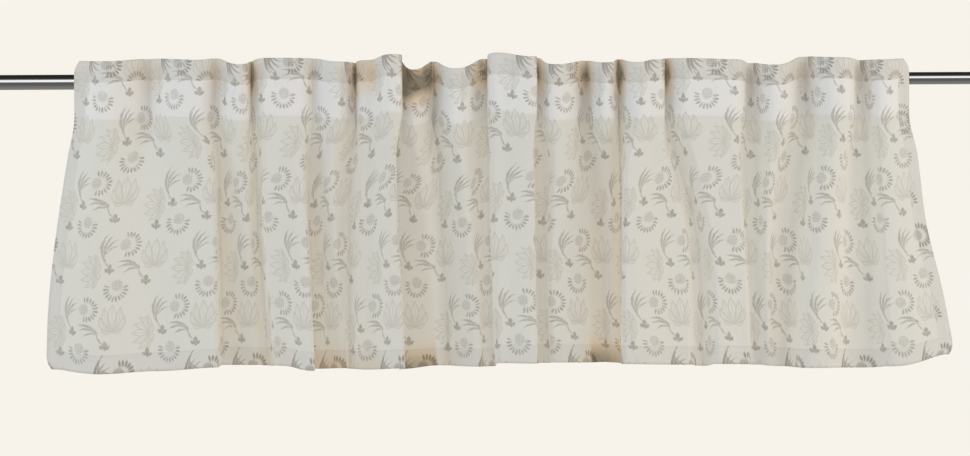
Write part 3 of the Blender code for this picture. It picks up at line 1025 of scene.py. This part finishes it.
sheerness = {
    "openness": 0.88,
    "plainColour": (0.74, 0.73, 0.70, 1.0),
    "plainThrough": (0.72, 0.63, 0.52, 1.0),
    "single": 0.32,
    "doubled": 0.20,
    "tapeTint": (0.85, 0.865, 0.88, 1.0),
    "behindTint": (0.66, 0.66, 0.645, 1.0),
    "throughTint": (0.92, 0.84, 0.72, 1.0),
    "behindPrint": 0.9,
    "tapeStrength": 0.8,
    "doubledStrength": 0.6,
    # painted shade: a warm colour for the folds' recesses, and a dark brown where they are deepest
    "paintedRecessShade": (0.95, 0.79, 0.61, 1.0),
    "paintedPinchShade": (0.40, 0.34, 0.26, 1.0),
}


# how far the bump stands out of the cloth, in millimetres
relief = {
    "weave": 0.12,
    "stitches": -0.5,
    "hems": 0.35,
}


# painted shade of the folds, seen from the front: a warm shade that deepens with the recess, turning dark
# brown where it is deepest, as in the pinched valleys
def paintedRecessShade(tree):
    paintedShade = tree.nodes.new("ShaderNodeAttribute")
    paintedShade.attribute_name = "paintedFoldShade"
    shallow = calc(tree, "MINIMUM", paintedShade.outputs["Fac"], 1.0)
    pinched = minus(tree, paintedShade.outputs["Fac"], 1.0, clamp=True)
    recessShade = blendColours(tree, shallow, (1.0, 1.0, 1.0, 1.0), sheerness["paintedRecessShade"])
    return blendColours(tree, pinched, recessShade, sheerness["paintedPinchShade"])


# the printed cloth, seen from its right side or from behind, where the print is paler
def clothMaterial(name, groups, printStrength, frontSide):
    material, tree, shader, output = newMaterial(name)
    across, down = clothCoordinates(tree)
    spot = {"Across": across, "Down": down}
    hems = useGroup(tree, groups["hems"], spot)
    weave = useGroup(tree, groups["weave"], spot)
    wander = useGroup(tree, groups["wander"], {**spot, "Reach": printing["handWander"]})
    printed = useGroup(tree, groups["print"], {"Across": wander["Across"], "Down": wander["Down"]})
    behindSpot = {"Across": hems["Across Behind"], "Down": hems["Down Behind"]}
    behind = useGroup(tree, groups["behind"], behindSpot)
    fromTape = minus(tree, down, heading["tapeTop"])
    toTape = minus(tree, heading["tapeFoot"], down)
    taped = times(tree, softStep(tree, fromTape, 2.0), softStep(tree, toTape, 2.0))
    white = times(tree, taped, sheerness["tapeStrength"])
    ground = blendColours(tree, white, printing["ground"], sheerness["tapeTint"])
    dim = times(tree, hems["Doubled"], sheerness["doubledStrength"])
    ground = blendColours(tree, dim, ground, sheerness["behindTint"])
    tone = timesPlus(tree, weave["Slub"], 0.10, 0.95)
    ground = darken(tree, ground, tone)
    hidden = times(tree, behind["Ink"], hems["Doubled"])
    hidden = times(tree, hidden, sheerness["behindPrint"])
    colour = blendColours(tree, hidden, ground, printing["ink"])
    lines = times(tree, printed["Line"], printing["lineStrength"] * printStrength)
    colour = blendColours(tree, lines, colour, printing["lineInk"])
    inked = times(tree, printed["Ink"], printing["inkStrength"] * printStrength)
    inked = times(tree, inked, wander["Tone"])
    colour = blendColours(tree, inked, colour, printing["ink"])
    # painted shade of the fold recesses, on the front side only
    if frontSide:
        colour = blendColours(tree, 1.0, colour, paintedRecessShade(tree), "MULTIPLY")
    tree.links.new(colour, shader.inputs["Base Color"])
    setInputs(shader, {"Roughness": 0.88, "Specular IOR Level": 0.25})
    setInputs(shader, {"Sheen Weight": 0.15, "Sheen Roughness": 0.5})
    height = times(tree, weave["Height"], relief["weave"])
    height = timesPlus(tree, hems["Stitches"], relief["stitches"], height)
    height = timesPlus(tree, hems["Doubled"], relief["hems"], height)
    normal = addBump(tree, shader, height, 0.6, 1.0)
    through = blendColours(tree, 1.0, colour, sheerness["throughTint"], "MULTIPLY")
    layers = calc(tree, "MAXIMUM", hems["Doubled"], taped)
    change = sheerness["doubled"] - sheerness["single"]
    amount = timesPlus(tree, layers, change, sheerness["single"])
    solid = letLightThrough(tree, shader, through, amount, normal)
    openWeave(tree, solid, output)
    return material


# Heading tape and back loops

heading = {
    "tapeTop": 5.0,
    "tapeFoot": 93.0,
    "tape": 0.7,
    "gap": 0.5,
    "columnsShort": 5,
    "tapeColour": (0.82, 0.82, 0.81, 1.0),
    "through": 0.30,
    "loopWidth": 20.0,
    "loop": 1.1,
    "loopTop": 22.0,
    "loopTopSeam": 17.5,
    "loopFootSeam": -45.0,
    "loopFoot": -52.0,
}


def tapeMaterial(groups):
    material, tree, shader, output = newMaterial("wovenTape")
    across, down = clothCoordinates(tree)
    weave = useGroup(tree, groups["weave"], {"Across": across, "Down": down, "Pitch": 0.9})
    tone = timesPlus(tree, weave["Slub"], 0.16, 0.90)
    colour = darken(tree, heading["tapeColour"], tone)
    tree.links.new(colour, shader.inputs["Base Color"])
    setInputs(shader, {"Roughness": 0.8, "Specular IOR Level": 0.3})
    normal = addBump(tree, shader, weave["Height"], 0.7, 0.6)
    solid = letLightThrough(tree, shader, colour, heading["through"], normal)
    openWeave(tree, solid, output)
    return material


def makeTape(material):
    rows = np.linspace(heading["tapeTop"], heading["tapeFoot"], 15).tolist()
    places, across = hangCloth(rows)
    behind = valance["doubledCloth"] + heading["gap"]
    places = places + gridNormals(places) * (wrinkles(across, rows) - behind)
    short = heading["columnsShort"]
    kept = slice(short, places.shape[1] - short)
    tape = addMesh("heading_tape_woven", places[:, kept], across[:, kept], rows, material)
    thicken(tape, heading["tape"])
    applyModifiers(tape)
    print("heading tape sewn on")
    return tape


# side view of a loop: from the tape over and behind the rod, and back to the tape
def loopRoute(rodRadius):
    behindTape, offRod, topEase, footEase = 3.2, 0.9, 1.8, 1.5
    sewn = behindTape - valance["rodPlane"]
    around = rodRadius + offRod
    seam = heading["loopTopSeam"]
    route = [(sewn, heading["loopTop"]), (sewn, seam), (sewn + topEase, seam - topEase)]
    for angle in range(108, -31, -6):
        turned = math.radians(angle)
        route.append((around * math.cos(turned), around * math.sin(turned)))
    route.append((sewn + footEase, heading["loopFootSeam"] + 2 * footEase))
    route += [(sewn, heading["loopFootSeam"]), (sewn, heading["loopFoot"])]
    return route


def makeLoop(number, middle, rodRadius, material):
    route = np.array(loopRoute(rodRadius))
    along = lengthsAlong(route)
    half = heading["loopWidth"] / 2
    columns = np.linspace(-half, half, 9)
    places, across = [], []
    for (y, z), run in zip(route, along):
        narrowed = 1.0 - 0.03 * math.sin(run / along[-1] * math.pi)
        places.append([(middle + column * narrowed, y, z) for column in columns])
        across.append(columns + number * 31.0)
    loop = addMesh(f"loop_{number:02d}", np.array(places), np.array(across), list(along), material)
    thicken(loop, heading["loop"], offset=0.0)
    applyModifiers(loop)
    return loop


# Telescopic rod: bright plated tube, the narrow one inside the wide one

rod = {
    "length": 1680.0,
    "outerDiameter": 24.4,
    "innerDiameter": 20.0,
    "wall": 1.2,
    "slidingGap": 0.3,
    "outerEnd": 45.0,
    "innerStart": -205.0,
    "edge": 0.5,
    "steps": 96,
    "colour": (0.61, 0.60, 0.59, 1.0),
}


def metalMaterial():
    material, tree, shader, output = newMaterial("platedTube")
    place = tree.nodes.new("ShaderNodeTexCoord").outputs["Object"]
    stretched = tree.nodes.new("ShaderNodeMapping")
    stretched.inputs["Scale"].default_value = (6.0, 90.0, 90.0)
    tree.links.new(place, stretched.inputs["Vector"])
    drawn = noiseAt(tree, stretched.outputs[0], 1.0, 3.0)
    handled = noiseAt(tree, place, 22.0, 3.0)
    rough = timesPlus(tree, handled, 0.07, 0.07)
    rough = timesPlus(tree, drawn, 0.03, rough)
    tree.links.new(rough, shader.inputs["Roughness"])
    setInputs(shader, {"Base Color": rod["colour"], "Metallic": 1.0})
    addBump(tree, shader, drawn, 0.05, 0.2)
    return material


def makeTube(name, outline, material):
    mesh = bpy.data.meshes.new(name)
    edges = [(index, index + 1) for index in range(len(outline) - 1)]
    mesh.from_pydata([(x * mm, 0.0, radius * mm) for x, radius in outline], edges, [])
    tube = newObject(name, mesh)
    turning = tube.modifiers.new("turning", "SCREW")
    turning.axis = "X"
    turning.angle = 2 * math.pi
    turning.steps = turning.render_steps = rod["steps"]
    turning.use_merge_vertices = True
    turning.merge_threshold = 0.00005
    turning.use_smooth_shade = True
    applyModifiers(tube)
    tube.data.materials.append(material)
    tube.data.set_sharp_from_angle(angle=math.radians(40))
    return tube


def makeRod(material):
    outer, inner = rod["outerDiameter"] / 2, rod["innerDiameter"] / 2
    bore, hollow, wall, edge = inner + rod["slidingGap"], inner - rod["wall"], rod["wall"], rod["edge"]
    left, right = -rod["length"] / 2, rod["length"] / 2
    wide = (
        (left + wall, 0.0),
        (left + wall, bore),
        (rod["outerEnd"], bore),
        (rod["outerEnd"], outer - edge),
        (rod["outerEnd"] - edge, outer),
        (left + edge, outer),
        (left, outer - edge),
        (left, 0.0),
    )
    narrow = (
        (right, 0.0),
        (right, inner - edge),
        (right - edge, inner),
        (rod["innerStart"] + edge, inner),
        (rod["innerStart"], inner - edge),
        (rod["innerStart"], hollow),
        (right - wall, hollow),
        (right - wall, 0.0),
    )
    outerTube = makeTube("outer_tube_plated", wide, material)
    innerTube = makeTube("inner_tube_plated", narrow, material)
    print("rod made")
    return outerTube, innerTube


def build():
    placeCamera()
    setStudio()
    full, ghost = printGroups()
    groups = {
        "print": full,
        "behind": ghost,
        "hems": hemGroup(),
        "weave": weaveGroup(),
        "wander": wanderGroup(),
    }
    front = clothMaterial("printedVoile", groups, 1.0, frontSide=True)
    back = clothMaterial("printedVoileBack", groups, 0.45, frontSide=False)
    taped = tapeMaterial(groups)
    panel = makePanel(front, back)
    tape = makeTape(taped)
    loops = []
    held = [line for line in foldLines if line.forward[0] == valance["rodPlane"]]
    for number, line in enumerate(held, start=1):
        onWide = line.across[0] < rod["outerEnd"]
        radius = (rod["outerDiameter"] if onWide else rod["innerDiameter"]) / 2
        loops.append(makeLoop(number, line.across[0], radius, taped))
    print("loops made:", len(loops))
    wide, narrow = makeRod(metalMaterial())

    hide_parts("panel")
    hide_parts("heading_tape")
    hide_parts("rod_outer_tube")
    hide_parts("rod_inner_tube")
    for number, loop in enumerate(loops, start=1):
        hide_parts(f"back_loop_{number:02d}")
    for piece in (panel, tape, wide, narrow, *loops):
        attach(piece, "root")


build()
